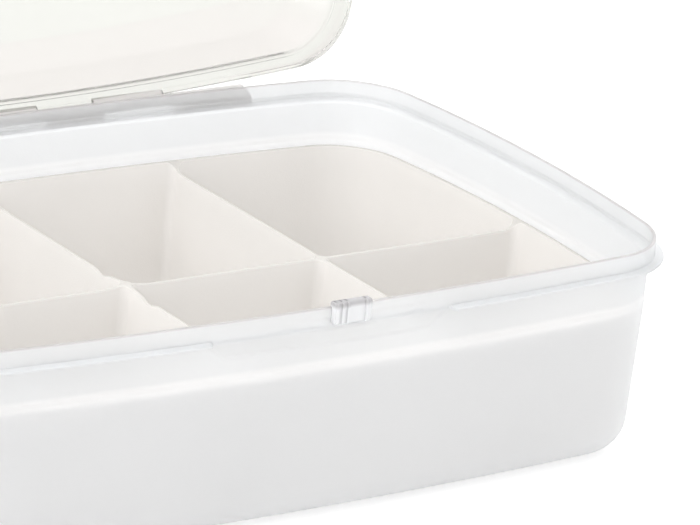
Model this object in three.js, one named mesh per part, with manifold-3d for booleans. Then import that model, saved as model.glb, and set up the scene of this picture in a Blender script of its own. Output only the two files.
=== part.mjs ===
// Parts sorting tray: a translucent tub with a lift-out compartment tray and a hinged clear lid.
// Millimetres, +Z up, front of the box towards -Y. The origin is the middle of the tub's underside.
import * as THREE from "three";
import { mergeVertices } from "three/addons/utils/BufferGeometryUtils.js";
import Module from "manifold-3d";

// ---- plan of the box: a rounded rectangle with all four sides bowed outward ----
const HALF_WIDTH = 146; // outside of the rim at the middle of each side wall
const HALF_DEPTH = 97; // outside of the rim at the middle of the front and back
const CORNER_R = 28.5; // outside corner radius at the rim
const BOW_FRONT = 7; // how far the front and back bow out
const BOW_SIDE = 8.8; // how far the side walls bow out

// ---- tub ----
const RIM_Z = 73.5; // top of the rim
const WALL = 1.4;
const BEAD_H = 4.4; // slightly thinner band at the top of the rim
const BEAD_T = 1.2;
const FLANGE_Z = 66.4; // underside of the flange that runs round the collar
const FLANGE_T = 1.2;
const FLANGE_OUT = 3; // how far the flange stands out
const FLANGE_GAP = 45; // the flange stops this far either side of the clasp
const COLLAR_TOP_IN = 1.6; // inset of the collar just under the flange
const COLLAR_IN = 2; // inset of the collar at its foot
const STEP_Z = 53.8; // the body stands out from the collar below here
const BODY_IN = 1.75; // inset of the body at its top
const BASE_IN = 4.2; // inset of the body at the base, after the draft
const BASE_R = 11; // radius between wall and base
const FLOOR_T = 1.6;

// ---- clasp bay: a shallow trapezoid let into the front of the collar ----
const BAY_TOP = 45; // half width at the flange
const BAY_BOTTOM = 38; // half width at its lower edge
const BAY_Z = 60.5;
const BAY_IN = 2.3; // inset of the bay's floor
const CATCH_X = 6; // the catch and the clasp sit a little right of the middle
const CATCH_HALF = 7; // ribbed catch on the front rim
const CATCH_OUT = 2.6;
const CATCH_BACK = 1.2; // how far its head reaches over the rim
const CATCH_Z = 68.2;
const CATCH_TOP_Z = 75.2;

// ---- compartment tray ----
const TRAY_RIM_Z = 51;
const TRAY_IN = 3.8; // inset of the tray's rim from the rim outline
const TRAY_DRAFT = 2.4; // further inset at the tray's underside
const TRAY_BOTTOM_Z = 2;
const TRAY_FOOT_R = 9; // radius between the tray's wall and its underside
const TRAY_WALL = 1.3;
const TRAY_FLOOR_T = 1.4;
const DIVIDER_T = 1; // at the top; the pockets taper, so it is thicker at the floor
const POCKET_TAPER = 0.7;
const DIVIDER_Z = 47.6; // top of the dividers in the open middle
const DIVIDER_RISE = 5; // length over which they rise to the tray's rim
const DIVIDERS_X = [-89.4, -13.6, 62.2];
const NOTCH_X = DIVIDERS_X[1]; // two finger notches either side of the middle crossing
const NOTCH_Y = 14.4;
const NOTCH_D = 1.35;
const POCKET_R = 3;

// ---- lid ----
const LID_OPEN = 112; // degrees from closed to its stop
const LID_T = 1.4;
const LID_OUT = 2.2; // outside of the skirt, past the rim outline
const SKIRT_Z = 68.4; // lower edge of the skirt when closed
const LEDGE_Z = 73.9; // underside of the ledge that rests over the rim
const LEDGE_IN = 4; // the dome's wall starts here
const SEAL_IN = 2.1; // low rib that drops inside the rim
const SEAL_T = 1.1;
const SEAL_H = 1.4;
const DOME_IN = 11.5; // top of the dome's steep wall
const DOME_R = 22;
const DOME_Z = 87;
const PANEL_IN = 23; // flat panel inside the bevel
const PANEL_R = 16;
const PANEL_Z = 92.5;

// ---- hinge ----
const HINGE_Y = HALF_DEPTH + 2.9;
const HINGE_Z = 70;
const PIN_R = 1.2;
const PIN_CLEAR = 0.06;
const KNUCKLE_R = 2.1;
const HINGE_HALF = 93.4; // half length of the hinge
const PIN_STOP = 91.4; // the bore is blind at the right-hand end
const LID_KNUCKLES = [[-64, -36], [-14, 14], [36, 64]]; // X spans carried by the lid
const KNUCKLE_GAP = 0.4;

// ---- snap clasp on the lid's front edge, drawn closed ----
const TAB_HALF = 11;
const TAB_Y = -HALF_DEPTH - 3.2; // its inner face, in front of the catch
const TAB_T = 1.5;
const TAB_TOP_Z = 73.6;
const TAB_LIP_Z = 60.6;
const HOOK_Z = 67.8; // top of the hook, under the catch
const HOOK_IN = 2;

const wasm = await Module();
wasm.setup();

// A quarter of a plan: front arc, corner and side arc, from the middle front to the middle right.
function quarter(a, b, r, bowFront, bowSide, inset, steps) {
  const rf = (a * a + bowFront * bowFront) / (2 * bowFront);
  const rs = (b * b + bowSide * bowSide) / (2 * bowSide);
  const front = new THREE.Vector2(0, rf - b);
  const side = new THREE.Vector2(a - rs, 0);
  const dist = side.distanceTo(front);
  const along = ((rf - r) ** 2 - (rs - r) ** 2 + dist * dist) / (2 * dist);
  const across = Math.sqrt((rf - r) ** 2 - along * along);
  const u = side.clone().sub(front).normalize();
  const corner = front.clone().addScaledVector(u, along)
    .add(new THREE.Vector2(-u.y, u.x).multiplyScalar(across));
  const t1 = corner.clone().sub(front).angle() - 2 * Math.PI;
  const t2 = corner.clone().sub(side).angle() - 2 * Math.PI;
  const spans = [
    [front, rf, -Math.PI / 2, t1, steps[0]],
    [corner, r, t1, t2, steps[1]],
    [side, rs, t2, 0, steps[2]],
  ];
  const points = [];
  for (const [c, radius, from, to, count] of spans)
    for (let i = 0; i < count; i++) {
      const t = from + ((to - from) * i) / count;
      const d = radius - inset;
      points.push(new THREE.Vector2(c.x + d * Math.cos(t), c.y + d * Math.sin(t)));
    }
  points.push(new THREE.Vector2(a - inset, 0));
  return points;
}

// The whole plan, counter-clockwise, a parallel inset from the rim outline.
function plan(inset, steps = [4, 6, 3]) {
  return mirrored(quarter(HALF_WIDTH, HALF_DEPTH, CORNER_R, BOW_FRONT, BOW_SIDE, inset, steps));
}

// A smaller plan with a corner radius of its own, for features that are not parallel to the rim.
function ownPlan(inset, radius, steps = [4, 6, 3]) {
  return mirrored(quarter(HALF_WIDTH - inset, HALF_DEPTH - inset, radius,
    BOW_FRONT * 0.9, BOW_SIDE * 0.9, 0, steps));
}

function mirrored(q) {
  const right = q.concat(q.slice(0, -1).reverse().map((p) => new THREE.Vector2(p.x, -p.y)));
  const left = right.slice(1, -1).reverse().map((p) => new THREE.Vector2(-p.x, p.y));
  return right.concat(left);
}

// Skins a stack of equal-count rings and closes the first and the last with a fan.
function loft(rings) {
  const n = rings[0].points.length;
  const position = [];
  const index = [];
  for (const ring of rings)
    for (const p of ring.points) position.push(p.x, p.y, ring.z);
  for (let k = 0; k < rings.length - 1; k++)
    for (let i = 0; i < n; i++) {
      const j = (i + 1) % n;
      const a = k * n + i, b = k * n + j, c = (k + 1) * n + j, d = (k + 1) * n + i;
      index.push(a, b, c, a, c, d);
    }
  const fan = (ring, flip) => {
    const centre = position.length / 3;
    const base = ring * n;
    position.push(0, 0, rings[ring].z);
    for (let i = 0; i < n; i++) {
      const j = (i + 1) % n;
      if (flip) index.push(centre, base + j, base + i);
      else index.push(centre, base + i, base + j);
    }
  };
  fan(0, true);
  fan(rings.length - 1, false);
  return closed(position, index);
}

function closed(position, index) {
  const g = new THREE.BufferGeometry();
  g.setAttribute("position", new THREE.Float32BufferAttribute(position, 3));
  g.setIndex(index);
  return g;
}

// ---- booleans ----
function solid(geometry) {
  const g = geometry.clone();
  g.deleteAttribute("normal");
  g.deleteAttribute("uv");
  const m = mergeVertices(g, 1e-4);
  return new wasm.Manifold(new wasm.Mesh({
    numProp: 3,
    vertProperties: new Float32Array(m.attributes.position.array),
    triVerts: new Uint32Array(m.index.array),
  }));
}

function geometry(manifold) {
  const m = manifold.getMesh();
  const g = closed(Array.from(m.vertProperties), Array.from(m.triVerts));
  g.computeVertexNormals();
  return g;
}

function add(base, ...more) {
  return more.reduce((sum, piece) => sum.add(piece), base);
}

function cut(base, ...tools) {
  return tools.reduce((rest, tool) => rest.subtract(tool), base);
}

// A box between two corners.
function block(x0, y0, z0, x1, y1, z1) {
  return solid(new THREE.BoxGeometry(x1 - x0, y1 - y0, z1 - z0)
    .translate((x0 + x1) / 2, (y0 + y1) / 2, (z0 + z1) / 2));
}

// A round bar along X.
function bar(x0, x1, y, z, r, sides = 20) {
  return solid(new THREE.CylinderGeometry(r, r, x1 - x0, sides)
    .rotateZ(Math.PI / 2).translate((x0 + x1) / 2, y, z));
}

// A flat outline in X-Z, given a thickness from y0 to y1.
function slabXZ(points, y0, y1) {
  const shape = new THREE.Shape(points.map(([x, z]) => new THREE.Vector2(x, z)));
  return solid(new THREE.ExtrudeGeometry(shape, { depth: y1 - y0, bevelEnabled: false })
    .rotateX(Math.PI / 2).translate(0, y1, 0));
}

// A flat outline in Y-Z, given a length from x0 to x1.
function slabYZ(points, x0, x1) {
  const shape = new THREE.Shape(points.map(([y, z]) => new THREE.Vector2(y, z)));
  return solid(new THREE.ExtrudeGeometry(shape, { depth: x1 - x0, bevelEnabled: false })
    .rotateY(Math.PI / 2).rotateX(Math.PI / 2).translate(x0, 0, 0));
}

const ring = (inset, z) => ({ points: plan(inset), z });
const ownRing = (inset, radius, z) => ({ points: ownPlan(inset, radius), z });

// ---- tub ----
const bodyInset = (z) => BODY_IN + ((BASE_IN - BODY_IN) * (STEP_Z - z)) / STEP_Z;

// Rings that round the foot of a wall into a floor.
function footRings(inset, z, radius) {
  return [0, 1, 2, 3].map((i) => {
    const t = (Math.PI / 6) * i;
    return ring(inset + radius * (1 - Math.sin(t)), z + radius * (1 - Math.cos(t)));
  });
}

function tubShell() {
  const outerFoot = footRings(bodyInset(BASE_R), 0, BASE_R);
  const innerFoot = footRings(bodyInset(BASE_R) + WALL, FLOOR_T, BASE_R - WALL).reverse();
  return solid(loft([
    ...outerFoot,
    ring(bodyInset(STEP_Z - 0.8), STEP_Z - 0.8),
    ring(COLLAR_IN, STEP_Z + 0.4),
    ring(COLLAR_TOP_IN, FLANGE_Z),
    ring(-FLANGE_OUT, FLANGE_Z + 0.2),
    ring(-FLANGE_OUT, FLANGE_Z + FLANGE_T - 0.2),
    ring(0, FLANGE_Z + FLANGE_T),
    ring(0, RIM_Z - 0.3),
    ring(0.3, RIM_Z),
    ring(BEAD_T - 0.3, RIM_Z),
    ring(BEAD_T, RIM_Z - 0.3),
    ring(BEAD_T, RIM_Z - BEAD_H),
    ring(WALL, RIM_Z - BEAD_H - 0.4),
    ring(WALL, FLANGE_Z + 1.4),
    ring(COLLAR_TOP_IN + WALL, FLANGE_Z - 0.6),
    ring(COLLAR_IN + WALL, STEP_Z + 0.4),
    ring(bodyInset(STEP_Z - 0.8) + WALL, STEP_Z - 0.8),
    ...innerFoot,
  ]));
}

// What the clasp needs cut away: the flange in front of it, and the bay in the collar.
function claspCuts() {
  const front = -HALF_DEPTH;
  const gap = block(-FLANGE_GAP, front - 8, FLANGE_Z - 0.3,
    FLANGE_GAP, front + 20, FLANGE_Z + FLANGE_T + 0.3);
  const collar = solid(loft([ring(0, FLANGE_Z - 3), ring(0, FLANGE_Z + 4)]));
  const trapezoid = slabXZ([
    [-BAY_BOTTOM, BAY_Z], [BAY_BOTTOM, BAY_Z], [BAY_TOP, FLANGE_Z - 0.4], [-BAY_TOP, FLANGE_Z - 0.4],
  ], front - 5, front + 20);
  const bayFloor = solid(loft([ring(BAY_IN, BAY_Z - 5), ring(BAY_IN, FLANGE_Z + 5)]));
  return [gap.subtract(collar), trapezoid.subtract(bayFloor)];
}

// The catch: a head over the rim with four ribs down its face.
function catchBlock() {
  const front = -HALF_DEPTH;
  const profile = (out) => [
    [front + 0.7, CATCH_Z], [front - out, CATCH_Z],
    [front - out, CATCH_TOP_Z - 0.8], [front - out + 0.8, CATCH_TOP_Z],
    [front + CATCH_BACK, CATCH_TOP_Z], [front + CATCH_BACK, RIM_Z - 1.5], [front + 0.7, RIM_Z - 2],
  ];
  const ribs = [-6.6, -4.6, -2.6, 4.4].map((x) => slabYZ(profile(CATCH_OUT), CATCH_X + x, CATCH_X + x + 1));
  return add(slabYZ(profile(CATCH_OUT - 0.7), CATCH_X - CATCH_HALF, CATCH_X + CATCH_HALF), ...ribs);
}

// X spans of the tub's knuckles, which fill the hinge between the lid's.
function tubSpans() {
  const edges = [-HINGE_HALF, ...LID_KNUCKLES.flat(), HINGE_HALF];
  const last = edges.length - 2;
  return [0, 2, 4, 6].map((i) => [
    edges[i] + (i > 0 ? KNUCKLE_GAP : 0), edges[i + 1] - (i < last ? KNUCKLE_GAP : 0),
  ]);
}

function tubKnuckles() {
  const ears = tubSpans().map(([x0, x1]) => add(
    bar(x0, x1, HINGE_Y, HINGE_Z, KNUCKLE_R),
    slabYZ([
      [HALF_DEPTH - 5, FLANGE_Z + 0.1], [HINGE_Y + 0.4, FLANGE_Z + 0.1],
      [HINGE_Y + KNUCKLE_R * 0.94, HINGE_Z - KNUCKLE_R * 0.34],
      [HINGE_Y - KNUCKLE_R * 0.5, HINGE_Z + KNUCKLE_R * 0.8],
      [HALF_DEPTH - 5, HINGE_Z],
    ], x0, x1),
  ));
  const hollow = solid(loft([ring(WALL - 0.3, FLANGE_Z - 2), ring(WALL - 0.3, RIM_Z + 2)]));
  return add(...ears).subtract(hollow);
}

const hingeBore = () => bar(-HINGE_HALF - 1, PIN_STOP, HINGE_Y, HINGE_Z, PIN_R + PIN_CLEAR);

function makeTub() {
  const shell = cut(tubShell(), ...claspCuts());
  return geometry(add(shell, catchBlock(), tubKnuckles()).subtract(hingeBore()));
}

function makePin() {
  return geometry(bar(-HINGE_HALF, PIN_STOP - 0.4, HINGE_Y, HINGE_Z, PIN_R));
}

// ---- compartment tray ----
const trayInset = (z) => TRAY_IN + (TRAY_DRAFT * (TRAY_RIM_Z - z)) / (TRAY_RIM_Z - TRAY_BOTTOM_Z);

function trayBody(inset, z, top) {
  const radius = TRAY_FOOT_R - inset;
  return solid(loft([
    ...footRings(trayInset(z + radius) + inset, z, radius),
    ring(TRAY_IN + inset, TRAY_RIM_Z - 0.4),
    ring(TRAY_IN + inset + (inset ? 0 : 0.4), top),
  ]));
}

// One cell: a tapered block with rounded corners, held inside the tray's wall.
function pocket(x0, y0, x1, y1, inner) {
  const mx = (x0 + x1) / 2, my = (y0 + y1) / 2;
  const corners = [[x1, y0, -90], [x1, y1, 0], [x0, y1, 90], [x0, y0, 180]];
  const outline = (taper, z) => {
    const points = [];
    for (const [x, y, start] of corners)
      for (let i = 0; i <= 3; i++) {
        const t = THREE.MathUtils.degToRad(start + 30 * i);
        points.push(new THREE.Vector2(
          x - mx - Math.sign(x - mx) * (POCKET_R + taper) + POCKET_R * Math.cos(t),
          y - my - Math.sign(y - my) * (POCKET_R + taper) + POCKET_R * Math.sin(t),
        ));
      }
    return { points, z };
  };
  const cell = loft([
    outline(POCKET_TAPER, TRAY_BOTTOM_Z + TRAY_FLOOR_T), outline(0, TRAY_RIM_Z + 1),
  ]).translate(mx, my, 0);
  return solid(cell).intersect(inner);
}

function makeTray() {
  const inner = trayBody(TRAY_WALL, TRAY_BOTTOM_Z + TRAY_FLOOR_T, TRAY_RIM_Z + 1);
  const xs = [-HALF_WIDTH - 6, ...DIVIDERS_X, HALF_WIDTH + 6];
  const half = DIVIDER_T / 2;
  const pockets = [];
  for (let i = 0; i < xs.length - 1; i++) {
    pockets.push(pocket(xs[i] + half, half, xs[i + 1] - half, HALF_DEPTH + 6, inner));
    pockets.push(pocket(xs[i] + half, -HALF_DEPTH - 6, xs[i + 1] - half, -half, inner));
  }
  const lowered = solid(loft([
    ring(TRAY_IN + TRAY_WALL + DIVIDER_RISE, DIVIDER_Z),
    ring(TRAY_IN + TRAY_WALL + 0.2, TRAY_RIM_Z - 0.2),
    ring(TRAY_IN + TRAY_WALL + 0.2, TRAY_RIM_Z + 2),
  ]));
  const notches = [-NOTCH_Y, NOTCH_Y].map((y) => slabYZ([
    [y, DIVIDER_Z - NOTCH_D], [y + 5.5, DIVIDER_Z + 0.5], [y - 5.5, DIVIDER_Z + 0.5],
  ], NOTCH_X - 3, NOTCH_X + 3));
  return geometry(cut(trayBody(0, TRAY_BOTTOM_Z, TRAY_RIM_Z), ...pockets, lowered, ...notches));
}

// ---- lid, shaped closed ----
function lidShell() {
  return solid(loft([
    ownRing(PANEL_IN, PANEL_R, PANEL_Z - LID_T),
    ownRing(DOME_IN + 0.9, DOME_R - 0.6, DOME_Z - 1.1),
    ring(LEDGE_IN + 0.3, LEDGE_Z),
    ring(SEAL_IN + SEAL_T, LEDGE_Z),
    ring(SEAL_IN + SEAL_T - 0.2, LEDGE_Z - SEAL_H),
    ring(SEAL_IN + 0.2, LEDGE_Z - SEAL_H),
    ring(SEAL_IN, LEDGE_Z),
    ring(LID_T + 0.6 - LID_OUT, LEDGE_Z),
    ring(LID_T - LID_OUT, LEDGE_Z - 0.6),
    ring(LID_T - LID_OUT, SKIRT_Z),
    ring(-LID_OUT, SKIRT_Z),
    ring(-LID_OUT, LEDGE_Z + LID_T - 1),
    ring(1 - LID_OUT, LEDGE_Z + LID_T),
    ring(LEDGE_IN - 1.1, LEDGE_Z + LID_T),
    ownRing(DOME_IN - 0.4, DOME_R, DOME_Z),
    ownRing(PANEL_IN, PANEL_R, PANEL_Z),
  ]));
}

// Knuckles and webs that carry the lid on the pin.
function lidKnuckles() {
  const top = LEDGE_Z + LID_T;
  return LID_KNUCKLES.map(([x0, x1]) => add(
    bar(x0, x1, HINGE_Y, HINGE_Z, KNUCKLE_R),
    slabYZ([
      [HINGE_Y - KNUCKLE_R, HINGE_Z + 0.4], [HINGE_Y + KNUCKLE_R - 0.2, HINGE_Z + 0.4],
      [HINGE_Y + 1.6, HINGE_Z + 2.5], [HALF_DEPTH + LID_OUT, top],
      [HALF_DEPTH - 1, top], [HALF_DEPTH - 1, LEDGE_Z], [HINGE_Y - KNUCKLE_R, LEDGE_Z],
    ], x0, x1),
  ));
}

function makeLid() {
  const hingeGap = block(-HINGE_HALF - 0.6, HALF_DEPTH - 6, SKIRT_Z - 1,
    HINGE_HALF + 0.6, HALF_DEPTH + 6, LEDGE_Z - 0.01);
  const core = solid(loft([ring(LID_T + 0.6 - LID_OUT, SKIRT_Z - 2), ring(LID_T + 0.6 - LID_OUT, 76)]));
  const front = -HALF_DEPTH;
  const tabGap = block(CATCH_X - TAB_HALF - 0.4, front - 4, SKIRT_Z - 1,
    CATCH_X + TAB_HALF + 0.4, front + 0.2, LEDGE_Z - 0.01);
  const catchGap = block(CATCH_X - CATCH_HALF - 0.6, front - CATCH_OUT - 0.4, SKIRT_Z - 1,
    CATCH_X + CATCH_HALF + 0.6, front + CATCH_BACK + 0.5, LEDGE_Z + 3);
  const lug = block(CATCH_X - TAB_HALF, TAB_Y - TAB_T, LEDGE_Z,
    CATCH_X + TAB_HALF, front - 1.2, LEDGE_Z + LID_T);
  const shell = cut(lidShell(), hingeGap.subtract(core), tabGap);
  return geometry(cut(add(shell, lug, ...lidKnuckles()), catchGap, hingeBore()));
}

// The clasp: a plate with a hook under the catch and a lip to pull.
function makeTab() {
  const outer = TAB_Y - TAB_T;
  return geometry(slabYZ([
    [TAB_Y, TAB_TOP_Z], [outer, TAB_TOP_Z], [outer, TAB_LIP_Z + 3.6],
    [outer - 2, TAB_LIP_Z + 0.6], [outer - 0.8, TAB_LIP_Z], [TAB_Y - 0.2, TAB_LIP_Z + 2.6],
    [TAB_Y, HOOK_Z - 1.6], [TAB_Y + HOOK_IN, HOOK_Z - 0.9], [TAB_Y + HOOK_IN, HOOK_Z],
    [TAB_Y, HOOK_Z + 0.1],
  ], CATCH_X - TAB_HALF, CATCH_X + TAB_HALF));
}

// ---- assembly ----
const milky = { color: 0xe9eaea, roughness: 0.38, metalness: 0 };
const clear = { color: 0xf3f5ea, roughness: 0.12, metalness: 0, transparent: true, opacity: 0.4 };
const grey = { color: 0xd9d4d0, roughness: 0.55, metalness: 0 };

function mesh(name, shape, look) {
  const m = new THREE.Mesh(shape, new THREE.MeshStandardMaterial(look));
  m.name = name;
  return m;
}

const lidGroup = new THREE.Group(); // turns about the hinge pin
lidGroup.position.set(0, HINGE_Y, HINGE_Z);
lidGroup.rotation.x = -THREE.MathUtils.degToRad(LID_OPEN);
for (const [name, shape] of [["lid", makeLid()], ["clasp_tab", makeTab()]])
  lidGroup.add(mesh(name, shape.translate(0, -HINGE_Y, -HINGE_Z), clear));

const tray = new THREE.Group();
tray.add(
  mesh("tub", makeTub(), milky),
  mesh("hinge_pin", makePin(), clear),
  mesh("insert_tray", makeTray(), grey),
  lidGroup,
);

export default tray;
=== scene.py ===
"""Parts sorting tray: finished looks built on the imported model. Lengths below are in millimetres."""
import math

import bmesh
import bpy
import numpy as np
from mathutils import Matrix, Vector
from mathutils.geometry import delaunay_2d_cdt


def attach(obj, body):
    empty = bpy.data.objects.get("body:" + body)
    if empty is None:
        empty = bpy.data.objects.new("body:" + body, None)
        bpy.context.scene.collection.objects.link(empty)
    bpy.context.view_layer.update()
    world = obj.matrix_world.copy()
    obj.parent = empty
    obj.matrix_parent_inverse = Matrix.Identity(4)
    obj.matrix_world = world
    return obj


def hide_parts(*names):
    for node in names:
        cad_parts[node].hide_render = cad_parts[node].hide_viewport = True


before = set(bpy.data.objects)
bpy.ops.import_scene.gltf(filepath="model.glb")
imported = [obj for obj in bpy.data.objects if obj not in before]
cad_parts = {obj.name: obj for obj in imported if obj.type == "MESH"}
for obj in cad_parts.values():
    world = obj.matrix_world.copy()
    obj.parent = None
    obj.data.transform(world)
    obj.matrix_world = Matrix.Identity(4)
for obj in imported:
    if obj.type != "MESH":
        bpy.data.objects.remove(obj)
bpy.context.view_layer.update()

MM = 0.001
WELD = 2e-6  # metres; points nearer than this are joined
SMOOTH_ANGLE = math.radians(40)  # sharper edges than this stay sharp

# ---- plan of the box ----
HALF_WIDTH, HALF_DEPTH, CORNER_R = 146.0, 97.0, 28.5
BOW_FRONT, BOW_SIDE = 7.0, 8.8

# ---- tub ----
RIM_Z, WALL, BEAD_H, BEAD_T = 73.5, 1.4, 4.4, 1.2
FLANGE_Z, FLANGE_GAP = 66.4, 45.0
COLLAR_TOP_IN, COLLAR_IN, STEP_Z = 1.6, 2.0, 53.8
BODY_IN, BASE_IN, BASE_R, FLOOR_T = 1.75, 4.2, 11.0, 1.6
UNDERSIDE_FLAT, FLOOR_FLAT = 23.5, 21.0  # how far in the flat middles begin
# section of the flange: reach past the rim outline, height from FLANGE_Z
FLANGE_SECTION = ((0.0, -0.45), (0.1, -0.12), (0.45, 0.0), (2.6, 0.08), (2.88, 0.2), (3.0, 0.5),
                  (3.0, 0.7), (2.88, 1.0), (2.6, 1.12), (0.45, 1.2), (0.12, 1.32), (0.0, 1.65))
WALL_HEIGHTS = (2.1, 2.6, 3.2, 3.7, 4.2, 4.6)  # above FLANGE_Z, to carry the scoop
BAY_TOP, BAY_BOTTOM, BAY_Z, BAY_HEAD_Z, BAY_DEPTH = 45.0, 38.0, 60.5, FLANGE_Z - 0.4, 0.5
SCOOP_X, SCOOP_HALF, SCOOP_Z, SCOOP_TOP_Z, SCOOP_RISE, SCOOP_DEPTH = 8.0, 26.0, 65.2, 70.6, 3.4, 0.35
CATCH_X, CATCH_RIBS, RIB_T, RIB_H = 6.0, (-6.6, -4.6, -2.6, 4.4), 1.0, 0.7
CATCH_HALF, CATCH_OUT, CATCH_BACK, CATCH_Z, CATCH_TOP_Z = 7.0, 2.6, 1.2, 68.2, 75.2

# ---- compartment tray ----
TRAY_RIM_Z, TRAY_IN, TRAY_DRAFT, TRAY_BOTTOM_Z = 51.0, 3.8, 2.4, 2.0
TRAY_WALL, TRAY_FLOOR_T, TRAY_FOOT_R = 1.3, 1.4, 9.0
DIVIDER_T, POCKET_TAPER, EDGE_R = 1.0, 0.7, 0.3
DIVIDER_Z, DIVIDER_RISE = 47.6, 5.0
DIVIDERS_X = (-89.4, -13.6, 62.2)
NOTCH_Y, NOTCH_D, NOTCH_HALF = 14.4, 1.35, 4.6
SADDLE, SADDLE_HALF, HUB_HALF = 1.4, 11.0, 9.0  # the rise where the dividers cross
POCKET_R, FLOOR_R = 3.0, 6.5
FAR = 1000.0  # stands for no divider on that side of a cell

# ---- lid, in its closed place ----
LID_OPEN = math.radians(112)
LID_T, LID_OUT, SKIRT_Z, LEDGE_Z, LEDGE_IN = 1.4, 2.2, 68.4, 73.9, 4.0
SEAL_IN, SEAL_T, SEAL_H = 2.1, 1.1, 1.4
DOME_IN, DOME_R, DOME_Z = 11.5, 22.0, 87.0
PANEL_IN, PANEL_R, PANEL_Z, PANEL_FLAT = 23.0, 16.0, 92.5, 8.0
HINGE_Y, HINGE_Z, KNUCKLE_R, HINGE_HALF = HALF_DEPTH + 2.9, 70.0, 2.1, 93.4
LID_KNUCKLES = ((-64, -36), (-14, 14), (36, 64))
KNUCKLE_GAP, KNUCKLE_BEVEL, ROOT_LENGTH = 0.4, 0.35, 5.0
TAB_HALF, TAB_Y, TAB_T = 11.0, -HALF_DEPTH - 3.2, 1.5
TAB_TOP_Z, TAB_LIP_Z, HOOK_Z, HOOK_IN = 73.6, 60.6, 67.8, 2.0


# ---------------------------------------------------------------- plan curves
def circles(a, b, r, bow_front, bow_side):
    """Centres and radii of the front arc, corner and side arc of the front right quarter."""
    rf = (a * a + bow_front ** 2) / (2 * bow_front)
    rs = (b * b + bow_side ** 2) / (2 * bow_side)
    front, side = np.array([0.0, rf - b]), np.array([a - rs, 0.0])
    gap = side - front
    dist = np.linalg.norm(gap)
    along = ((rf - r) ** 2 - (rs - r) ** 2 + dist ** 2) / (2 * dist)
    across = math.sqrt((rf - r) ** 2 - along ** 2)
    u = gap / dist
    corner = front + along * u + across * np.array([-u[1], u[0]])
    return front, rf, corner, r, side, rs


# X stations along the front, closer together at the catch, clasp and bay
FRONT_X = [0, 1.6, 2.2, 3, 4.4, 5, 5.6, 7, 9, 11, 13, 13.6, 14.2, 15, 16.4, 17, 17.6, 19, 21, 23,
           25, 27, 29, 31, 33, 35, 36, 37, 37.6, 38.2, 38.8, 39.5, 40.2, 41, 41.8, 42.6, 43.3, 43.9,
           44.4, 44.8, 45.2, 45.8, 47, 50, 54, 60, 66, 72, 78, 84, 90, 96, 101, 106, 110, 114]


def quarter(a, b, r, bow_front, bow_side, corner_steps=20, side_steps=14):
    """Points and outward normals from the middle front to the middle right."""
    front, rf, corner, _, side, rs = circles(a, b, r, bow_front, bow_side)
    t1 = math.atan2(corner[1] - front[1], corner[0] - front[0])
    t2 = math.atan2(corner[1] - side[1], corner[0] - side[0])
    end_x = rf * math.cos(t1)
    pts, nrm = [], []

    def put(centre, radius, t):
        n = np.array([math.cos(t), math.sin(t)])
        pts.append(centre + radius * n)
        nrm.append(n)
    for x in FRONT_X:
        if x > 50:  # the outer stations stretch to end where the corner begins
            x = 50 + (x - 50) * (end_x - 50) / (FRONT_X[-1] - 50)
        put(front, rf, -math.pi / 2 + math.asin(x / rf))
    for i in range(1, corner_steps + 1):
        put(corner, r, t1 + (t2 - t1) * i / corner_steps)
    for i in range(1, side_steps + 1):
        put(side, rs, t2 - t2 * i / side_steps)
    return np.array(pts), np.array(nrm)


def whole(q):
    """All four quarters, counter-clockwise from the middle front."""
    p, n = q
    flip_y, flip_x = np.array([1, -1]), np.array([-1, 1])
    rp = np.vstack([p, (p * flip_y)[-2::-1]])
    rn = np.vstack([n, (n * flip_y)[-2::-1]])
    return np.vstack([rp, (rp * flip_x)[-2:0:-1]]), np.vstack([rn, (rn * flip_x)[-2:0:-1]])


RIM, RIM_N = whole(quarter(HALF_WIDTH, HALF_DEPTH, CORNER_R, BOW_FRONT, BOW_SIDE))


def own(inset, radius):
    """A plan of its own corner radius, point for point with RIM."""
    return whole(quarter(HALF_WIDTH - inset, HALF_DEPTH - inset, radius,
                         BOW_FRONT * 0.9, BOW_SIDE * 0.9))[0]


def ring(inset, z):
    xy = RIM - RIM_N * np.broadcast_to(np.asarray(inset, float), len(RIM))[:, None]
    return np.column_stack([xy, np.broadcast_to(np.asarray(z, float), len(RIM))])


def inward(p):
    """Distance of points inward from the rim outline."""
    front, rf, corner, r, side, rs = circles(HALF_WIDTH, HALF_DEPTH, CORNER_R, BOW_FRONT, BOW_SIDE)
    q = np.stack([np.abs(p[..., 0]), -np.abs(p[..., 1])], -1)
    d_front = rf - np.linalg.norm(q - front, axis=-1)
    d_side = rs - np.linalg.norm(q - side, axis=-1)
    c = q - corner
    t = np.arctan2(c[..., 1], c[..., 0])
    t1 = math.atan2(corner[1] - front[1], corner[0] - front[0])
    t2 = math.atan2(corner[1] - side[1], corner[0] - side[0])
    return np.where((t > t1) & (t < t2), r - np.linalg.norm(c, axis=-1), np.minimum(d_front, d_side))


def smooth(t):
    t = np.clip(t, 0, 1)
    return t * t * (3 - 2 * t)


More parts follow.
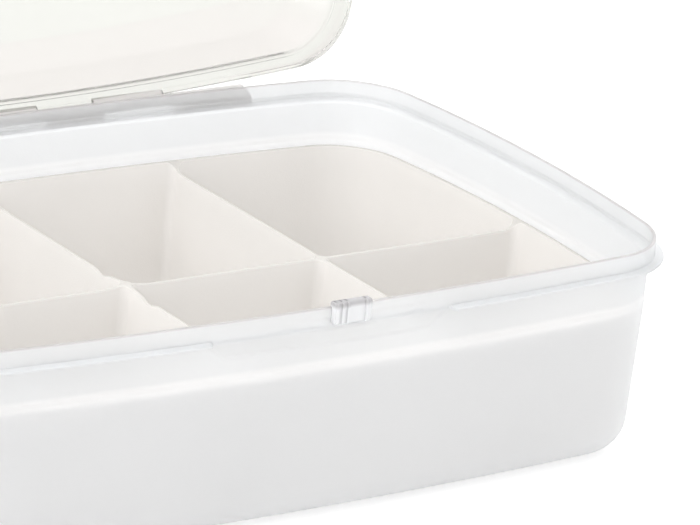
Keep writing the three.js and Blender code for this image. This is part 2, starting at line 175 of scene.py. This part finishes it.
def rounded(profile, step=0.28):
    """Rounds the corners of an open (inset, z, radius) profile; returns (inset, z) rows."""
    pts = [np.array(p[:2], float) for p in profile]
    out = [pts[0]]
    for i in range(1, len(pts) - 1):
        a, b, c, r = pts[i - 1], pts[i], pts[i + 1], profile[i][2]
        u, v = (a - b), (c - b)
        lu, lv = np.linalg.norm(u), np.linalg.norm(v)
        u, v = u / lu, v / lv
        turn = math.acos(max(-1, min(1, float(-(u @ v)))))
        if r <= 0 or turn < 0.02:
            out.append(b)
            continue
        cut = min(r * math.tan(turn / 2), lu * 0.48, lv * 0.48)
        radius = cut / math.tan(turn / 2)
        bis = (u + v) / np.linalg.norm(u + v)
        centre = b + bis * radius / math.cos(turn / 2)
        start, end = b + u * cut - centre, b + v * cut - centre
        n = max(2, int(math.ceil(turn / step)))
        a0 = math.atan2(start[1], start[0])
        da = (math.atan2(end[1], end[0]) - a0 + math.pi) % (2 * math.pi) - math.pi
        for k in range(n + 1):
            t = a0 + da * k / n
            out.append(centre + radius * np.array([math.cos(t), math.sin(t)]))
    out.append(pts[-1])
    return np.array(out)


# ---------------------------------------------------------------- meshes
def make(name, verts, faces, material):
    """A welded mesh object with outward faces and smooth shading."""
    mesh = bpy.data.meshes.new(name)
    mesh.from_pydata([tuple(v) for v in np.asarray(verts, float) * MM], [], faces)
    mesh.validate()
    obj = bpy.data.objects.new(name, mesh)
    bpy.context.scene.collection.objects.link(obj)
    mesh.materials.append(material)
    bm = bmesh.new()
    bm.from_mesh(mesh)
    bmesh.ops.remove_doubles(bm, verts=bm.verts, dist=WELD)
    bmesh.ops.recalc_face_normals(bm, faces=bm.faces)
    for f in bm.faces:
        f.smooth = True
    for e in bm.edges:
        if len(e.link_faces) == 2 and e.calc_face_angle(0) > SMOOTH_ANGLE:
            e.smooth = False
    bm.to_mesh(mesh)
    bm.free()
    return obj


def skin(rings, cap_start=True, cap_end=True):
    """Quads between equal rings, with flat caps at the wanted ends."""
    n = len(rings[0])
    verts = [tuple(p) for r in rings for p in r]
    faces = []
    for k in range(len(rings) - 1):
        for i in range(n):
            j = (i + 1) % n
            faces.append((k * n + i, k * n + j, (k + 1) * n + j, (k + 1) * n + i))
    for want, k, flip in ((cap_start, 0, True), (cap_end, len(rings) - 1, False)):
        if want:
            centre = len(verts)
            verts.append(tuple(np.mean(rings[k], axis=0)))
            for i in range(n):
                a, b = k * n + i, k * n + (i + 1) % n
                faces.append((centre, b, a) if flip else (centre, a, b))
    return verts, faces


def toward_middle(rings, start=True, end=True):
    """Adds shrinking rings so that broad flat ends are covered evenly."""
    scales = [(s, s, 1) for s in (0.8, 0.6, 0.4, 0.2, 0.05)]
    before = [rings[0] * s for s in reversed(scales)] if start else []
    after = [rings[-1] * s for s in scales] if end else []
    return before + rings + after


def prism(profile, x0, x1, round_r=0.25):
    """A profile in (y, z), extruded along X, with small rounded ends."""
    pts = np.array(profile, float)
    mid = pts.mean(0)
    shrink = 1 - round_r / np.abs(pts - mid).max()
    rings = []
    for x, s in ((x0, shrink), (x0 + round_r * 0.3, 1 - (1 - shrink) * 0.3), (x0 + round_r, 1.0),
                 (x1 - round_r, 1.0), (x1 - round_r * 0.3, 1 - (1 - shrink) * 0.3), (x1, shrink)):
        q = mid + (pts - mid) * s
        rings.append(np.column_stack([np.full(len(q), x), q]))
    return skin(rings)


def rounded_loop(profile, step=0.3):
    """Rounds every corner of a closed (y, z, radius) outline."""
    out = []
    n = len(profile)
    for i in range(n):
        tri = [profile[i - 1], profile[i], profile[(i + 1) % n]]
        out.extend(rounded(tri, step)[1:-1])
    return np.array(out)


def merge(parts):
    """Several (verts, faces) pairs as one."""
    verts, faces = [], []
    for v, f in parts:
        base = len(verts)
        verts.extend(v)
        faces.extend(tuple(i + base for i in face) for face in f)
    return verts, faces


def to_open(verts):
    """Turns closed-lid points about the hinge into the open rest place."""
    v = np.asarray(verts, float).copy()
    dy, dz = v[:, 1] - HINGE_Y, v[:, 2] - HINGE_Z
    c, s = math.cos(LID_OPEN), math.sin(LID_OPEN)
    v[:, 1] = HINGE_Y + dy * c + dz * s
    v[:, 2] = HINGE_Z - dy * s + dz * c
    return v


# ---------------------------------------------------------------- materials
def plastic(name, base, rough, transmission=0.0, ior=1.49, bump=0.02, grain=900.0, mottle=0.012,
            rough_var=0.05, painted_shades=(), crest=None, glow=0.0):
    """A Principled plastic with mottled colour, uneven roughness, a fine grain and, where given, painted
    shade.
    """
    mat = bpy.data.materials.new(name)
    mat.use_nodes = True
    nt = mat.node_tree
    nt.nodes.clear()
    out = nt.nodes.new("ShaderNodeOutputMaterial")
    bsdf = nt.nodes.new("ShaderNodeBsdfPrincipled")
    nt.links.new(bsdf.outputs[0], out.inputs[0])
    coord = nt.nodes.new("ShaderNodeTexCoord")

    def noise(scale, detail=3.0, roughness=0.5):
        n = nt.nodes.new("ShaderNodeTexNoise")
        n.inputs["Scale"].default_value = scale
        n.inputs["Detail"].default_value = detail
        n.inputs["Roughness"].default_value = roughness
        nt.links.new(coord.outputs["Object"], n.inputs["Vector"])
        return n.outputs["Fac"]

    def spread(value, low, high):
        m = nt.nodes.new("ShaderNodeMapRange")
        m.inputs["From Min"].default_value = 0.3
        m.inputs["From Max"].default_value = 0.7
        m.inputs["To Min"].default_value = low
        m.inputs["To Max"].default_value = high
        nt.links.new(value, m.inputs["Value"])
        return m.outputs["Result"]

    ramp = nt.nodes.new("ShaderNodeValToRGB")
    ramp.color_ramp.elements[0].position, ramp.color_ramp.elements[1].position = 0.35, 0.65
    dark = [c * (1 - mottle) for c in base]
    light = [min(1, c * (1 + mottle)) for c in base]
    ramp.color_ramp.elements[0].color = (*dark, 1)
    ramp.color_ramp.elements[1].color = (*light, 1)
    nt.links.new(noise(22.0), ramp.inputs["Fac"])
    colour = ramp.outputs["Color"]

    def rise(output, low, high):
        """0 to 1 as the Z of a coordinate output goes from low to high."""
        split = nt.nodes.new("ShaderNodeSeparateXYZ")
        nt.links.new(coord.outputs[output], split.inputs[0])
        fade = nt.nodes.new("ShaderNodeMapRange")
        fade.inputs["From Min"].default_value = low
        fade.inputs["From Max"].default_value = high
        nt.links.new(split.outputs["Z"], fade.inputs["Value"])
        return fade.outputs["Result"]

    def tint(under, amount, over):
        mix = nt.nodes.new("ShaderNodeMix")
        mix.data_type = "RGBA"
        mix.inputs[7].default_value = (*over, 1)
        nt.links.new(amount, mix.inputs[0])
        nt.links.new(under, mix.inputs[6])
        return mix.outputs[2]

    for low, high, over in painted_shades:  # painted shade: a colour that fades in between two heights
        colour = tint(colour, rise("Object", low * MM, high * MM), over)
    if crest:  # painted shade (on the lid, a painted reflection): a darker colour on faces that look up, above a height
        both = nt.nodes.new("ShaderNodeMath")
        both.operation = "MULTIPLY"
        nt.links.new(rise("Normal", 0.3, 0.8), both.inputs[0])
        nt.links.new(rise("Object", crest[0] * MM, (crest[0] + 2) * MM), both.inputs[1])
        colour = tint(colour, both.outputs[0], crest[1])
    nt.links.new(colour, bsdf.inputs["Base Color"])
    nt.links.new(spread(noise(60.0), rough - rough_var, rough + rough_var), bsdf.inputs["Roughness"])
    bump_node = nt.nodes.new("ShaderNodeBump")
    bump_node.inputs["Strength"].default_value = bump
    bump_node.inputs["Distance"].default_value = 0.0006
    nt.links.new(noise(grain, 2.0, 0.6), bump_node.inputs["Height"])
    nt.links.new(bump_node.outputs[0], bsdf.inputs["Normal"])
    bsdf.inputs["IOR"].default_value = ior
    bsdf.inputs["Transmission Weight"].default_value = transmission
    bsdf.inputs["Emission Color"].default_value = (1, 1, 1, 1)
    bsdf.inputs["Emission Strength"].default_value = glow
    return mat


# painted shade: the collar above about 55 mm is painted a darker, cooler grey than the body below, and a thin
# darker line is painted along the top of the rim
frosted = plastic("frosted_polypropylene", (0.985, 0.987, 0.992), 0.33, transmission=0.6, ior=1.42,
                  bump=0.05, grain=1400.0, mottle=0.005, rough_var=0.02,
                  painted_shades=((54.6, 55.8, (0.91, 0.92, 0.93)), (72.9, 73.4, (0.72, 0.69, 0.69))))
frosted_thick = plastic("frosted_thick_section", (0.95, 0.925, 0.915), 0.4, transmission=0.5, ior=1.35,
                        bump=0.05, grain=1400.0, mottle=0.006, rough_var=0.02)
# painted shade: the catch is painted darker than the tub's plastic to sit in with the collar's painted shade,
# and darker still on its top above about 73 mm
catch_gloss = plastic("glossy_catch", (0.78, 0.785, 0.795), 0.2, transmission=0.15, ior=1.4, bump=0.02,
                      rough_var=0.03, painted_shades=((73.2, 74.4, (0.5, 0.49, 0.5)),))
# painted shade: the up-facing tops of the dividers and of the tray rim, above 44 mm, are painted darker
tray_grey = plastic("warm_grey_plastic", (0.805, 0.785, 0.762), 0.5, bump=0.12, grain=2200.0, mottle=0.012,
                    crest=(44.0, (0.62, 0.60, 0.57)))
# painted reflection: faces of the open lid that look up are painted a darker, warmer colour, standing in for
# the tray reflected in them
clear_lid = plastic("clear_tinted_plastic", (0.765, 0.772, 0.736), 0.14, transmission=0.84, ior=1.25,
                    bump=0.004, grain=300.0, mottle=0.004, rough_var=0.03,
                    crest=(0.0, (0.75, 0.727, 0.705)))
clear_rod = plastic("clear_rod_plastic", (0.95, 0.95, 0.94), 0.16, transmission=0.3, ior=1.3, bump=0.01)


# ---------------------------------------------------------------- tub
def body_inset(z):
    return BODY_IN + (BASE_IN - BODY_IN) * (STEP_Z - z) / STEP_Z


def collar_inset(z):
    return COLLAR_TOP_IN + (COLLAR_IN - COLLAR_TOP_IN) * (FLANGE_Z - z) / (FLANGE_Z - STEP_Z)


def tub():
    foot = body_inset(0)
    outer_low = rounded([
        (foot + UNDERSIDE_FLAT, 0, 0), (foot, 0, BASE_R), (body_inset(STEP_Z - 0.9), STEP_Z - 0.9, 0.9),
        (COLLAR_IN, STEP_Z + 0.3, 0.9), (collar_inset(BAY_Z - 2), BAY_Z - 2, 0)], 0.2)
    inner = rounded([
        (0, RIM_Z - 2, 0), (0, RIM_Z, 0.35), (BEAD_T, RIM_Z, 0.35), (BEAD_T, RIM_Z - BEAD_H, 0.5),
        (WALL, RIM_Z - BEAD_H - 0.5, 0.5), (WALL, FLANGE_Z + 1.4, 0.8),
        (COLLAR_TOP_IN + WALL, FLANGE_Z - 0.6, 0.8), (COLLAR_IN + WALL, STEP_Z + 0.3, 0.8),
        (body_inset(STEP_Z - 0.9) + WALL, STEP_Z - 0.9, 0.8),
        (foot + WALL, FLOOR_T, BASE_R - WALL), (foot + WALL + FLOOR_FLAT, FLOOR_T, 0)], 0.2)
    front = RIM[:, 1] < 0
    x = np.abs(RIM[:, 0])
    has_flange = np.where(front, smooth((x - FLANGE_GAP + 0.5) / 1.0), 1.0)

    def bay(z):
        """Depth of the clasp bay at height z, for each point round the plan."""
        half = BAY_BOTTOM + (BAY_TOP - BAY_BOTTOM) * (z - BAY_Z) / (BAY_HEAD_Z - BAY_Z)
        side = smooth((half - x) / 1.6 + 0.5)
        low = smooth((z - BAY_Z) / 1.2 + 0.5)
        head = smooth((BAY_HEAD_Z - z) / 0.8 + 0.5)
        across = (RIM[:, 0] - SCOOP_X) / SCOOP_HALF
        scoop = SCOOP_DEPTH * smooth(z - SCOOP_Z - SCOOP_RISE * across ** 2 + 0.5)
        scoop = scoop * smooth((SCOOP_TOP_Z - z) / 1.2) * (np.abs(across) < 1.0)
        return np.where(front, BAY_DEPTH * side * low * head + scoop, 0.0)

    rings = [ring(i, z) for i, z in outer_low]
    z = BAY_Z - 1.5
    while z < FLANGE_Z - 0.6:
        rings.append(ring(collar_inset(z) + bay(z), z))
        z += 0.5
    for out, dz in FLANGE_SECTION:
        low = COLLAR_TOP_IN if dz < 0 else 0.0
        rings.append(ring(low + bay(FLANGE_Z + dz) - out * has_flange, FLANGE_Z + dz))
    for dz in WALL_HEIGHTS:
        rings.append(ring(bay(FLANGE_Z + dz), FLANGE_Z + dz))
    rings += [ring(i, z) for i, z in inner]
    return skin(toward_middle(rings))


def catch():
    """The block over the rim that the clasp snaps onto, with ribs down its face."""
    front = -HALF_DEPTH

    def head(out):
        return rounded_loop([
            (front + 0.6, CATCH_Z, 0.1), (front - out, CATCH_Z, 0.3), (front - out, CATCH_TOP_Z, 0.9),
            (front + CATCH_BACK, CATCH_TOP_Z, 0.5), (front + CATCH_BACK, RIM_Z - 1.2, 0.3),
            (front + 0.6, RIM_Z - 1.8, 0.1)])
    parts = [prism(head(CATCH_OUT - RIB_H), CATCH_X - CATCH_HALF, CATCH_X + CATCH_HALF, 0.5)]
    for x in CATCH_RIBS:
        parts.append(prism(head(CATCH_OUT), CATCH_X + x, CATCH_X + x + RIB_T, 0.3))
    return merge(parts)


def barrel(x0, x1):
    """One hinge knuckle, with bevelled ends."""
    t = np.linspace(0, 2 * math.pi, 40, endpoint=False)
    edge = KNUCKLE_BEVEL * 0.35
    end_r, edge_r = KNUCKLE_R - KNUCKLE_BEVEL, KNUCKLE_R - edge
    rings = []
    for x, r in ((x0, end_r), (x0 + edge, edge_r), (x0 + KNUCKLE_BEVEL, KNUCKLE_R),
                 (x1 - KNUCKLE_BEVEL, KNUCKLE_R), (x1 - edge, edge_r), (x1, end_r)):
        rings.append(np.column_stack([np.full(len(t), x), HINGE_Y + r * np.cos(t), HINGE_Z + r * np.sin(t)]))
    return skin(rings)


def tub_spans():
    """X spans of the tub's knuckles, between and beyond those of the lid."""
    edges = [-HINGE_HALF, *[e for pair in LID_KNUCKLES for e in pair], HINGE_HALF]
    spans = []
    for i in range(0, len(edges), 2):
        spans.append((edges[i] + (KNUCKLE_GAP if i else 0),
                      edges[i + 1] - (KNUCKLE_GAP if i + 2 < len(edges) else 0)))
    return spans


def tub_knuckles():
    parts = []
    for x0, x1 in tub_spans():
        parts.append(barrel(x0, x1))
        count = max(1, round((x1 - x0) / ROOT_LENGTH))
        edges = np.linspace(x0 + 0.1, x1 - 0.1, count + 1)
        for a, b in zip(edges[:-1], edges[1:]):  # short lengths, so the root follows the bowed wall
            reach = BOW_FRONT * (max(abs(a), abs(b)) / HALF_WIDTH) ** 2
            parts.append(prism(rounded_loop([
                (HALF_DEPTH - reach - 0.5, FLANGE_Z + 0.2, 0.1), (HINGE_Y + 0.5, FLANGE_Z + 0.2, 0.5),
                (HINGE_Y + KNUCKLE_R * 0.9, HINGE_Z - 0.5, 0.6), (HINGE_Y - 1.2, HINGE_Z + 1.6, 0.4),
                (HALF_DEPTH - reach - 0.5, HINGE_Z - 0.2, 0.1)]), a, b, 0.02))
    return merge(parts)


# ---------------------------------------------------------------- compartment tray
def tray_inset(z):
    return TRAY_IN + TRAY_DRAFT * (TRAY_RIM_Z - z) / (TRAY_RIM_Z - TRAY_BOTTOM_Z)


def divider_top(p):
    """Height of the tray's top edge over a point in plan."""
    d = inward(p) - (TRAY_IN + TRAY_WALL)
    rise = (TRAY_RIM_Z - DIVIDER_Z) * (1 - np.clip(d / DIVIDER_RISE, 0, 1)) ** 1.7
    from_middle = np.abs(p[..., 0] - DIVIDERS_X[1])
    near_middle = smooth(1.6 - from_middle / 1.6)
    y = np.abs(p[..., 1])
    notch = -NOTCH_D * np.clip(1 - np.abs(y - NOTCH_Y) / NOTCH_HALF, 0, 1)
    saddle = SADDLE * np.clip(1 - y / SADDLE_HALF, 0, 1)
    hub = SADDLE * np.clip(1 - from_middle / HUB_HALF, 0, 1) ** 1.5 * smooth(2 - y / 1.5)
    return DIVIDER_Z + rise + near_middle * (notch + saddle) + hub * (1 - near_middle)


def round_meet(a, b, r):
    """Inward distance of two walls that meet in a fillet of radius r."""
    return np.maximum(r, np.minimum(a, b)) - np.hypot(np.maximum(r - a, 0), np.maximum(r - b, 0))


def cells():
    """Left side, right side and row of each compartment."""
    xs = [-FAR, *DIVIDERS_X, FAR]
    for i in range(len(xs) - 1):
        for s in (-1, 1):
            yield xs[i], xs[i + 1], s


def cell_field(p, cell, z, extra=0.0):
    """Inward distance from the walls of one cell, at height z."""
    x0, x1, s = cell
    taper = POCKET_TAPER * (TRAY_RIM_Z - z) / (TRAY_RIM_Z - TRAY_BOTTOM_Z)
    half = DIVIDER_T / 2 + taper + extra
    walls = inward(p) - (tray_inset(z) + TRAY_WALL) - extra
    across = s * p[..., 1] - half
    f = round_meet(walls, across, POCKET_R)
    if x0 > -FAR:
        f = round_meet(f, p[..., 0] - (x0 + half), POCKET_R)
    if x1 < FAR:
        f = round_meet(f, (x1 - half) - p[..., 0], POCKET_R)
    return f


def cell_rings(cell, count=200):
    """Equal rings from the floor of a compartment up to its mouth."""
    x0, x1, s = cell
    inner_x = HALF_WIDTH - TRAY_IN - TRAY_WALL
    centre = np.array([(max(x0, -inner_x) + min(x1, inner_x)) / 2, s * 42.0])
    top = TRAY_RIM_Z

    def trace(angles, z, extra):
        d = np.column_stack([np.cos(angles), np.sin(angles)])
        lo, hi = np.zeros(len(angles)), np.full(len(angles), 120.0)
        for _ in range(34):
            mid = (lo + hi) / 2
            inside = cell_field(centre + d * mid[:, None], cell, z, extra) > 0
            lo, hi = np.where(inside, mid, lo), np.where(inside, hi, mid)
        return centre + d * lo[:, None]

    fine = np.linspace(0, 2 * math.pi, 2401)
    p = trace(fine, top, 0.0)
    step = np.diff(p, axis=0)
    length = np.linalg.norm(step, axis=1)
    heading = np.unwrap(np.arctan2(step[:, 1], step[:, 0]))
    turn = np.abs(np.diff(heading, append=heading[0] + 2 * math.pi))
    measure = np.concatenate([[0], np.cumsum(length / 2.0 + turn / 0.16)])
    angles = np.interp(np.linspace(0, measure[-1], count, endpoint=False), measure, fine)

    floor = TRAY_BOTTOM_Z + TRAY_FLOOR_T
    mouth = trace(angles, top, 0.0)
    mouth_z = divider_top(mouth)
    rings = []
    for k in range(6):
        t = math.pi / 2 * k / 5
        z = floor + FLOOR_R * (1 - math.cos(t))
        rings.append(np.column_stack([trace(angles, z, FLOOR_R * (1 - math.sin(t))), np.full(count, z)]))
    base = floor + FLOOR_R
    for k in range(1, 9):
        t = k / 8
        zs = base + (mouth_z - EDGE_R - base) * t
        xy = trace_varying(trace, angles, zs)
        rings.append(np.column_stack([xy, zs]))
    for k in range(1, 5):
        t = math.pi / 2 * k / 4
        zs = mouth_z - EDGE_R + EDGE_R * math.sin(t)
        xy = trace_varying(trace, angles, mouth_z - EDGE_R, -EDGE_R * (1 - math.cos(t)))
        rings.append(np.column_stack([xy, zs]))
    return rings


def trace_varying(trace, angles, zs, extra=0.0):
    """The wall at a height that differs along the ring; the draft is straight, so two levels give it."""
    low, high = 5.0, TRAY_RIM_Z
    a, b = trace(angles, low, extra), trace(angles, high, extra)
    w = ((zs - low) / (high - low))[:, None]
    return a + (b - a) * w


def tray():
    parts, loops = [], []
    for cell in cells():
        rings = cell_rings(cell)
        verts, faces = skin(rings, cap_start=True, cap_end=False)
        faces = [tuple(reversed(f)) for f in faces]
        parts.append((verts, faces))
        loops.append(rings[-1])
    foot = tray_inset(TRAY_BOTTOM_Z)
    outside = rounded([
        (foot + 20, TRAY_BOTTOM_Z, 0), (foot, TRAY_BOTTOM_Z, TRAY_FOOT_R),
        (TRAY_IN + 0.25, TRAY_RIM_Z - 2.2, 0.5), (TRAY_IN, TRAY_RIM_Z - 1.6, 0.3),
        (TRAY_IN, TRAY_RIM_Z, 0.4), (TRAY_IN + 0.5, TRAY_RIM_Z, 0)], 0.25)
    rings = toward_middle([ring(i, z) for i, z in outside], end=False)
    parts.append(skin(rings, cap_start=True, cap_end=False))
    loops.append(rings[-1])
    parts.append(land(loops))
    return merge(parts)


def within(points, loop):
    """Which points lie inside a closed outline, by counting crossings."""
    inside = np.zeros(len(points), bool)
    x, y = points[:, 0], points[:, 1]
    for (x0, y0), (x1, y1) in zip(loop[:, :2], np.roll(loop[:, :2], -1, axis=0)):
        spans = (y0 > y) != (y1 > y)
        if spans.any():
            inside ^= spans & (x < x0 + (y - y0) * (x1 - x0) / (y1 - y0 if y1 != y0 else 1.0))
    return inside


def land(loops):
    """The top faces between the cell mouths and the rim, triangulated over the plan."""
    points, edges = [], []
    for loop in loops:
        base = len(points)
        points.extend(map(tuple, loop[:, :2]))
        edges.extend((base + i, base + (i + 1) % len(loop)) for i in range(len(loop)))
    heights = np.concatenate([loop[:, 2] for loop in loops])
    crest = []
    for x in DIVIDERS_X:
        for y in np.arange(-88, 88.1, 1.1):
            crest.append((x, y))
    for x in np.arange(-137, 137.1, 1.3):
        crest.append((x, 0.0))
    crest = np.array(crest)
    crest = crest[inward(crest) > TRAY_IN + TRAY_WALL + 0.4]
    keep = np.ones(len(crest), bool)
    for i in range(len(crest)):
        near = np.linalg.norm(crest[:i][keep[:i]] - crest[i], axis=1) if i else np.array([9.0])
        keep[i] = near.size == 0 or near.min() > 0.5
    crest = crest[keep]
    points.extend(map(tuple, crest))
    heights = np.concatenate([heights, divider_top(crest)])
    co, _, tris, source, _, _ = delaunay_2d_cdt([Vector(p) for p in points], edges, [], 0, 1e-5)
    z = np.array([heights[s[0]] if s else DIVIDER_Z for s in source])
    xy = np.array([tuple(c) for c in co])
    keep_faces = []
    tri = np.array([t for t in tris if len(t) == 3])
    mid = xy[tri].mean(1)
    solid = within(mid, loops[-1])
    for loop in loops[:-1]:
        solid &= ~within(mid, loop)
    for t in tri[solid]:
        a, b, c = xy[t]
        area = (b[0] - a[0]) * (c[1] - a[1]) - (b[1] - a[1]) * (c[0] - a[0])
        if abs(area) > 1e-7:
            keep_faces.append(tuple(t) if area > 0 else tuple(t[::-1]))
    return [(*p, h) for p, h in zip(xy, z)], keep_faces


# ---------------------------------------------------------------- lid
def lid_ring(inset, z):
    """Parallel to the rim at the ledge, with its own corners from the dome inward."""
    if inset <= LEDGE_IN + 0.3:
        return ring(inset, z)
    if inset <= DOME_IN:
        w = (inset - LEDGE_IN - 0.3) / (DOME_IN - LEDGE_IN - 0.3)
        xy = ring(LEDGE_IN + 0.3, z)[:, :2] * (1 - w) + own(DOME_IN, DOME_R) * w
    else:
        w = (inset - DOME_IN) / (PANEL_IN - DOME_IN)
        xy = own(DOME_IN, DOME_R) * (1 - w) + own(PANEL_IN, PANEL_R) * w
    return np.column_stack([xy, np.full(len(xy), z)])


def lid_shell():
    top = LEDGE_Z + LID_T
    section = rounded([
        (PANEL_IN + PANEL_FLAT, PANEL_Z - LID_T, 0), (PANEL_IN, PANEL_Z - LID_T, 2.0),
        (DOME_IN + 0.9, DOME_Z - 1.1, 2.4), (LEDGE_IN + 0.3, LEDGE_Z, 0.8),
        (SEAL_IN + SEAL_T, LEDGE_Z, 0.15), (SEAL_IN + SEAL_T - 0.2, LEDGE_Z - SEAL_H, 0.3),
        (SEAL_IN + 0.2, LEDGE_Z - SEAL_H, 0.3), (SEAL_IN, LEDGE_Z, 0.15),
        (LID_T - LID_OUT, LEDGE_Z, 0.8), (LID_T - LID_OUT, SKIRT_Z, 0.35), (-LID_OUT, SKIRT_Z, 0.35),
        (-LID_OUT, top, 1.2), (LEDGE_IN - 1.1, top, 0.8), (DOME_IN - 0.4, DOME_Z, 3.0),
        (PANEL_IN, PANEL_Z, 2.6), (PANEL_IN + PANEL_FLAT, PANEL_Z, 0)], 0.22)
    back = RIM[:, 1] > 0
    front = ~back
    x = np.abs(RIM[:, 0])
    from_catch = np.abs(RIM[:, 0] - CATCH_X)
    no_skirt = np.where(back, smooth((HINGE_HALF + 0.9 - x) / 1.2), smooth(TAB_HALF + 0.6 - from_catch))
    catch_gap = np.where(front, smooth((CATCH_HALF + 1.2 - from_catch) / 0.6), 0.0)
    rings = []
    for i, z in section:
        notched = i + max(0.0, CATCH_BACK + 0.6 - i) * catch_gap  # the ledge stops short of the catch
        r = ring(notched, z) if i < LEDGE_IN else lid_ring(i, z)
        if z < LEDGE_Z - 0.05 and i < SEAL_IN - 0.5:  # the skirt stops at the hinge and the clasp
            r[:, 2] = r[:, 2] * (1 - no_skirt) + (LEDGE_Z + 0.15 + 0.02 * (z - SKIRT_Z)) * no_skirt
        rings.append(r)
    return skin(toward_middle(rings))


def lid_details():
    """The lid's hinge knuckles and the lugs that hold the clasp."""
    top = LEDGE_Z + LID_T
    parts = []
    for x0, x1 in LID_KNUCKLES:
        parts.append(barrel(x0, x1))
        parts.append(prism(rounded_loop([
            (HINGE_Y - KNUCKLE_R + 0.1, HINGE_Z, 0.2), (HINGE_Y + KNUCKLE_R - 0.1, HINGE_Z, 0.2),
            (HINGE_Y + 1.5, HINGE_Z + 2.6, 0.8), (HALF_DEPTH + 1.6, top - 0.1, 0.3),
            (HALF_DEPTH - 0.8, top - 0.1, 0.2), (HALF_DEPTH - 0.8, LEDGE_Z + 0.1, 0.2),
            (HINGE_Y - KNUCKLE_R + 0.1, LEDGE_Z, 0.4)]), x0 + 0.1, x1 - 0.1, 0.3))
    for s in (-1, 1):
        xs = sorted((s * (CATCH_HALF + 0.7), s * TAB_HALF))
        parts.append(prism(rounded_loop([
            (TAB_Y - TAB_T, LEDGE_Z, 0.3), (TAB_Y - TAB_T, top, 0.5), (-HALF_DEPTH - 1.0, top, 0.2),
            (-HALF_DEPTH - 1.0, LEDGE_Z, 0.2)]), CATCH_X + xs[0], CATCH_X + xs[1], 0.2))
    parts.append(prism(rounded_loop([
        (TAB_Y - TAB_T, LEDGE_Z, 0.3), (TAB_Y - TAB_T, top, 0.5), (TAB_Y - 0.1, top, 0.3),
        (TAB_Y - 0.1, LEDGE_Z, 0.2)]), CATCH_X - CATCH_HALF - 1.2, CATCH_X + CATCH_HALF + 1.2, 0.2))
    return merge(parts)


def clasp():
    """The snap clasp: a plate with a hook under the catch and a lip to pull."""
    outer = TAB_Y - TAB_T
    return prism(rounded_loop([
        (TAB_Y, TAB_TOP_Z, 0.3), (outer, TAB_TOP_Z, 0.4), (outer, TAB_LIP_Z + 3.6, 2.0),
        (outer - 2, TAB_LIP_Z + 0.6, 0.4), (outer - 0.8, TAB_LIP_Z, 0.4), (TAB_Y - 0.2, TAB_LIP_Z + 2.6, 1.2),
        (TAB_Y, HOOK_Z - 1.6, 0.4), (TAB_Y + HOOK_IN, HOOK_Z - 0.9, 0.3), (TAB_Y + HOOK_IN, HOOK_Z, 0.3),
        (TAB_Y, HOOK_Z + 0.1, 0.3)][::-1]), CATCH_X - TAB_HALF, CATCH_X + TAB_HALF, 0.5)


# ---------------------------------------------------------------- assembly
def piece(name, data, material, body, slot, *nodes, opened=False):
    """One visual piece that rides on a body and replaces the named CAD nodes."""
    verts, faces = data
    obj = make(name, to_open(verts) if opened else verts, faces, material)
    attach(obj, body)
    if nodes:
        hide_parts(*nodes)


piece("tub_body", tub(), frosted, "tub", "tub_plastic", "tub")
piece("tub_catch", catch(), catch_gloss, "tub", "tub_plastic")
piece("tub_knuckles", tub_knuckles(), frosted_thick, "tub", "tub_plastic")
piece("sorting_insert", tray(), tray_grey, "insert", "tray_plastic", "insert_tray")
piece("lid_shell", lid_shell(), clear_lid, "lid", "lid_plastic", "lid", opened=True)
piece("lid_lugs", lid_details(), frosted_thick, "lid", "lid_plastic", opened=True)
piece("clasp_flap", clasp(), clear_lid, "clasp", "lid_plastic", "clasp_tab", opened=True)
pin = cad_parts["hinge_pin"]
pin.data.materials.clear()
pin.data.materials.append(clear_rod)

# ---------------------------------------------------------------- floor, light, camera
floor_mesh = bpy.data.meshes.new("floor")
corners = [(-6, -6, 0), (6, -6, 0), (6, 6, 0), (-6, 6, 0)]  # metres
floor_mesh.from_pydata(corners, [], [(0, 1, 2, 3)])
floor = bpy.data.objects.new("floor", floor_mesh)
bpy.context.scene.collection.objects.link(floor)
floor.location.z = -0.0002
floor_mesh.materials.append(plastic("floor_white", (0.55, 0.55, 0.55), 0.8, bump=0.0, mottle=0.002,
                                    glow=0.55))

scene = bpy.context.scene
world = bpy.data.worlds.new("studio")
scene.world = world
world.use_nodes = True
world.node_tree.nodes["Background"].inputs["Color"].default_value = (1.0, 1.0, 1.0, 1)
world.node_tree.nodes["Background"].inputs["Strength"].default_value = 1.24


def area(name, place, target, size, watts):
    """A round soft light that faces a target; places in metres."""
    data = bpy.data.lights.new(name, "AREA")
    data.shape, data.size, data.energy = "DISK", size, watts
    obj = bpy.data.objects.new(name, data)
    scene.collection.objects.link(obj)
    obj.location = place
    obj.rotation_euler = (Vector(target) - Vector(place)).to_track_quat("-Z", "Y").to_euler()


area("key", (-1.7, -0.1, 1.2), (0, 0, 0), 1.6, 14)
area("top", (0.2, 0.6, 1.8), (0, 0, 0), 1.6, 4)

YAW, PITCH, ROLL = 0.6226, 0.3466, 0.0911
AIM, DISTANCE, LENS = Vector((73.85, 0, 44.4)) * MM, 1979.4 * MM, 308.6
forward = Vector((math.sin(YAW) * math.cos(PITCH), math.cos(YAW) * math.cos(PITCH), -math.sin(PITCH)))
right = Vector((math.cos(YAW), -math.sin(YAW), 0))
up = right.cross(forward)
right, up = (right * math.cos(ROLL) + up * math.sin(ROLL), up * math.cos(ROLL) - right * math.sin(ROLL))
camera = bpy.data.objects.new("camera", bpy.data.cameras.new("camera"))
scene.collection.objects.link(camera)
camera.data.lens, camera.data.sensor_width = LENS, 36
camera.data.clip_start, camera.data.clip_end = 0.05, 50
axes = Matrix((right, up, -forward)).transposed()
camera.matrix_world = Matrix.Translation(AIM - forward * DISTANCE) @ axes.to_4x4()
scene.camera = camera
scene.view_settings.view_transform = "Standard"
